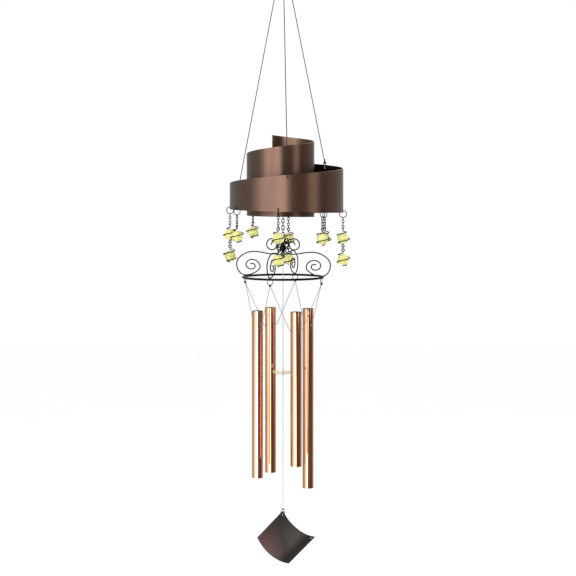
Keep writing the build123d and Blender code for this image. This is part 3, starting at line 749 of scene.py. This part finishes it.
def makeKnot(name, body, slotName, fabric, place, size, cord, facing, *nodes):
    knot = grow(name, tiedKnot, {"Size": size * mm, "Cord": cord * mm, "Place": inMetres(*place),
                                 "Facing": facing, "Fabric": fabric})
    return dress(knot, body, slotName, *nodes)


def makeCord(name, body, slotName, fabric, diameter, points, *nodes):
    # a smooth line through the given points
    data = bpy.data.curves.new(name, "CURVE")
    data.dimensions = "3D"
    spline = data.splines.new("NURBS")
    spline.points.add(len(points) - 1)
    for point, place in zip(spline.points, points):
        point.co = (*inMetres(*place), 1)
    spline.order_u = 3
    spline.use_endpoint_u = True
    spline.resolution_u = 16
    data.bevel_depth = diameter / 2 * mm
    data.bevel_resolution = 3
    data.use_fill_caps = True
    data.materials.append(fabric)
    piece = dress(addObject(name, data), body, slotName, *nodes)


suspension = {
    "diameter": 1.2, "gather": (0, 0, -27.05),
    "left": ((-0.65, 0.42, -30.41), (-11.6, 7.5, -87.1), (-48.8, 31.6, -278.6), (-64.82, 42.0, -361.23)),
    "front": ((0.07, -0.85, -30.39), (1.15, -14.4, -83.3), (5.0, -62.6, -271.7), (6.5, -81.52, -345.66)),
    "right": ((0.68, 0.59, -30.38), (11.1, 9.5, -81.1), (47.2, 40.5, -257.6), (61.84, 53.06, -328.98)),
}
ties = {  # where each loop goes through the strip, and which way the strip faces there
    "Left": ((-65.1, 42.18, -366.19), 149), "Front": ((6.53, -81.89, -350.61), 271),
    "Right": ((62.14, 53.32, -333.93), 410), "loopRadius": 3.1, "cord": 0.6,
    "knotRise": 3.9, "knotSize": 2.5, "knotCord": 0.75, "tailSwell": 1.25, "tailOut": 1.2,
    # each knot's short end: sideways along the strip and up, from the knot
    "tails": {"Left": (1.5, 3.5), "Front": (-6.0, 4.0), "Right": (0.8, 5.5)},
}


def tieTree():
    tree, given = startTree("tieLoop", {
        "Radius": 0.0031, "Cord": 0.0006, "Tail Start": (0.0, 0.0, 0.0), "Tail End": (0.0, 0.0, 0.0),
        "Place": (0.0, 0.0, 0.0), "Facing": 0.0, "Fabric": darkCord})
    ring = uprightRing(tree, given["Radius"], given["Cord"], 0.0, 40)
    tail = node(tree, "GeometryNodeCurvePrimitiveLine", {
        "Start": given["Tail Start"], "End": given["Tail End"]})
    thick = maths(tree, "MULTIPLY", given["Cord"], ties["tailSwell"])
    parts = joined(tree, ring, wired(tree, tail.outputs[0], thick, 8))
    whole = moved(tree, parts, given["Place"], vectorOf(tree, z=given["Facing"]))
    finishTree(tree, whole, given["Fabric"])
    return tree


def makeSuspension():
    for side in ("left", "front", "right"):
        makeCord(f"suspensionCord{side.title()}", "canopy", "cord", darkCord, suspension["diameter"],
                 suspension[side], f"suspension_cord_{side}")
    tree = tieTree()
    rise = ties["knotRise"]
    for side in ("Left", "Front", "Right"):
        (x, y, z), turn = ties[side]
        along, up = ties["tails"][side]
        loop = grow(f"tieLoop{side}", tree, {
            "Radius": ties["loopRadius"] * mm, "Cord": ties["cord"] * mm,
            "Tail Start": inMetres(0, 0, rise), "Tail End": inMetres(ties["tailOut"], along, rise + up),
            "Place": inMetres(x, y, z), "Facing": math.radians(turn), "Fabric": darkCord})
        dress(loop, "canopy", "cord", "cord_ties")
        makeKnot(f"tieKnot{side}", "canopy", "cord", darkCord, (x, y, z + rise), ties["knotSize"],
                 ties["knotCord"], (0.3, 0.2, math.radians(turn)), "cord_ties")
    print("suspension tied")


makeSuspension()

gatherShape = {"knot": (0, 0, -27.05), "size": 3.0, "cord": 0.8}


def makeGather():
    polished("gather_knot", "gatherLoop", "gather", "cord", darkCord)
    makeKnot("gatherKnotWinding", "gather", "cord", darkCord, gatherShape["knot"], gatherShape["size"],
             gatherShape["cord"], (0.2, 0.1, 0.4))
    polished("hanging_ring", "hangingRingWire", "hanging_ring", "ring_steel", ringSteel)
    print("ring and gather knot placed")


makeGather()

tubeCords = {
    "diameter": 0.8, "sides": ("right", "back", "left", "front"),
    # the right one: eyelet, near the tube, the bend, through the tube, the bend, near the tube, eyelet
    "path": ((54.86, -17.33, -507.05), (41.98, 7.93, -566.7), (41.04, 9.8, -570.6), (32.05, 27.44, -570.6),
             (31.1, 29.3, -566.7), (18.23, 54.57, -507.05)),
}
eyeletKnots = {"turns": (72, 162, 252, 342), "radius": 58.0, "height": -505.65, "size": 2.1, "cord": 0.6}
rimLevel, inwardLevel = 0.9, -0.5  # how far a face must look up, or towards the tube's axis


def shadeBore(tube):
    # faces that look at the tube's own axis, and its upper rim, take the dark bore finish: painted shade
    tube.data.materials.append(tubeBore)
    corners = [Vector(corner) for corner in tube.bound_box]
    middle = sum(corners, Vector()) / len(corners)
    for face in tube.data.polygons:
        outward = face.center - middle
        outward.z = 0
        if face.normal.z > rimLevel or face.normal.dot(outward.normalized()) < inwardLevel:
            face.material_index = 1


def makeTubes():
    path = tubeCords["path"]
    for side in tubeCords["sides"]:
        shadeBore(polished(f"tube_{side}", f"tube{side.title()}", f"tube_{side}", "tube", tubeCopper, 30))
        makeCord(f"tubeCord{side.title()}", f"tube_cord_{side}", "tube_line", tubeLine,
                 tubeCords["diameter"], path, f"tube_cord_{side}")
        path = tuple((-y, x, z) for x, y, z in path)  # a quarter turn on
    for turn in eyeletKnots["turns"]:
        spot = levelVector(turn, eyeletKnots["radius"])
        makeKnot(f"eyeletKnot{turn}", "scroll_frame", "cord", darkCord,
                 (spot.x, spot.y, eyeletKnots["height"]), eyeletKnots["size"], eyeletKnots["cord"],
                 (0.4, 0.2, math.radians(turn)), "eyelet_knots")
    print("tubes strung")


makeTubes()


def makeFrame():
    polished("scrolls", "scrollWires", "scroll_frame", "wire", frameWire, 50)
    polished("hoop", "hoopWire", "scroll_frame", "wire", frameWire, 50)
    polished("crown", "crownBinding", "scroll_frame", "wire", frameWire, 40)
    polished("crown_ring", "crownRing", "crown_ring", "wire", fineWire)
    polished("cross_wire", "crossWire", "canopy", "wire", fineWire)
    print("scroll frame set")


makeFrame()

strikerShape = {
    "cord": ((0, 0, -470.2), (0, 0, -525.0), (0, 0, -580.0), (0, 0, -635.75)), "diameter": 1.0,
    "knot": (0, 0, -468.55), "knotSize": 1.55, "knotCord": 0.45,
    "lowerKnot": (0, 0, -637.5), "lowerSize": 1.65,
    "sailCord": ((0, 0, -639.1), (0, 0, -700.0), (0, 0, -765.0), (0, 0, -831.8)), "sailCordDiameter": 0.8,
}


def makeStriker():
    shape = strikerShape
    polished("striker_knot", "strikerLoop", "striker_knot", "cord", darkCord)
    makeKnot("strikerKnotWinding", "striker_knot", "cord", darkCord, shape["knot"], shape["knotSize"],
             shape["knotCord"], (0.2, 0.3, 0))
    makeCord("strikerCord", "striker", "cord", paleCord, shape["diameter"], shape["cord"], "striker_cord")
    polished("clapper", "clapperDisc", "striker", "clapper", clapperResin, 35)
    makeKnot("clapperKnot", "sail_cord", "cord", darkCord, shape["lowerKnot"], shape["lowerSize"],
             shape["knotCord"], (0.3, 0.1, 0.5), "sail_cord")
    makeCord("sailCord", "sail_cord", "cord", paleCord, shape["sailCordDiameter"], shape["sailCord"],
             "sail_cord")
    polished("sail", "sailSheet", "sail", "sail", sailMetal, 30)
    polished("sail_tie", "sailTieLoop", "sail", "cord", darkCord)
    print("striker and sail hung")


makeStriker()

studio = {
    "floorHeight": -1.45, "floorSize": 14.0, "floorTone": (0.995, 0.995, 0.995), "floorMottle": 0.993,
    "skyTone": (1.0, 1.0, 1.0), "panelGlow": 4.0, "aim": (0, 0, -0.5),
    # each lamp: place, width and power
    "key": ((-1.5, -1.6, 0.35), 1.1, 14.0), "fill": ((1.7, -1.2, -0.3), 0.9, 4.0),
    "top": ((0.1, 0.3, 1.3), 1.2, 6.0),
}
# what polished metal mirrors, by degrees round from the front, rightwards: a white panel at the
# left that grows to the middle, dark beyond it with a faint warm stripe, and a dim room behind
cool, warm, white = (0.8, 0.95, 1.0), (1.0, 0.6, 0.42), (1.0, 1.0, 1.0)
panels = ((-180, 0.32, white), (-160, 0.12, cool), (-75, 0.15, cool), (-62, 0.4, white), (-38, 0.48, white),
          (-18, 0.92, white), (-1, 1.1, white), (4, 0.03, warm), (27, 0.025, warm), (32, 0.065, warm),
          (37, 0.065, warm), (42, 0.022, warm), (85, 0.026, white), (105, 0.09, white), (160, 0.12, white),
          (180, 0.32, white))
cameraView = {"eye": (7.25, -1900.0, -370.7), "lens": 81.9, "shift": -0.17}


def makeStudio():
    floor = addObject("paleFloor", bpy.data.meshes.new("paleFloor"))
    half, height = studio["floorSize"] / 2, studio["floorHeight"]
    floor.data.from_pydata([(-half, -half, height), (half, -half, height), (half, half, height),
                            (-half, half, height)], [], [(0, 1, 2, 3)])
    tone, tree, shader = startMaterial("floorTone", Roughness=0.9)
    mottle = noiseOf(tree, placeOf(tree), 3, 3)
    light = studio["floorTone"]
    shade = tuple(part * studio["floorMottle"] for part in light)
    tree.links.new(rampOf(tree, mottle, [(0.3, shade), (0.7, light)]), shader.inputs["Base Color"])
    floor.data.materials.append(tone)
    floor.visible_glossy = False
    middle = Vector(studio["aim"])
    for name in ("key", "fill", "top"):
        place, size, power = studio[name]
        lamp = bpy.data.lights.new(name + "Light", "AREA")
        lamp.shape = "DISK"
        lamp.size = size
        lamp.energy = power
        holder = addObject(name + "Light", lamp)
        holder.location = place
        holder.rotation_euler = (middle - Vector(place)).to_track_quat("-Z", "Y").to_euler()
    makeSky()


def makeSky():
    # plain white to the eye; mirrors see the panels of the studio instead
    world = bpy.data.worlds.new("paleSky")
    world.use_nodes = True
    tree = world.node_tree
    plain = tree.nodes["Background"]
    plain.inputs["Color"].default_value = (*studio["skyTone"], 1)
    direction = shadeNode(tree, "ShaderNodeTexCoord").outputs["Generated"]
    parts = shadeNode(tree, "ShaderNodeSeparateXYZ", {0: direction})
    forward = shadeNode(tree, "ShaderNodeMath", {0: parts.outputs["Y"], 1: -1.0}, operation="MULTIPLY")
    around = shadeNode(tree, "ShaderNodeMath", {0: parts.outputs["X"], 1: forward.outputs[0]},
                       operation="ARCTAN2")
    share = rangeOf(tree, around.outputs[0], 0, 1, -math.pi, math.pi)
    stops = [((turn + 180) / 360, tuple(part * glow for part in hue)) for turn, glow, hue in panels]
    mirrored = shadeNode(tree, "ShaderNodeBackground", {
        "Color": rampOf(tree, share, stops), "Strength": studio["panelGlow"]})
    path = shadeNode(tree, "ShaderNodeLightPath").outputs
    clear = shadeNode(tree, "ShaderNodeMath", {0: 1.0, 1: path["Is Transmission Ray"]},
                      operation="SUBTRACT")
    mirror = shadeNode(tree, "ShaderNodeMath", {0: path["Is Glossy Ray"], 1: clear.outputs[0]},
                       operation="MULTIPLY")
    mixed = shadeNode(tree, "ShaderNodeMixShader", {0: mirror.outputs[0], 1: plain.outputs[0],
                                                    2: mirrored.outputs[0]})
    tree.links.new(mixed.outputs[0], tree.nodes["World Output"].inputs["Surface"])
    bpy.context.scene.world = world


def makeCamera():
    data = bpy.data.cameras.new("view")
    data.sensor_width = 36
    data.lens = cameraView["lens"]
    data.shift_y = cameraView["shift"]
    data.clip_end = 60
    camera = addObject("view", data)
    camera.location = inMetres(*cameraView["eye"])
    camera.rotation_euler = (math.radians(90), 0, 0)
    bpy.context.scene.camera = camera


makeStudio()
makeCamera()
bpy.context.scene.view_settings.view_transform = "Standard"
print("studio lit")

bpy.context.view_layer.update()
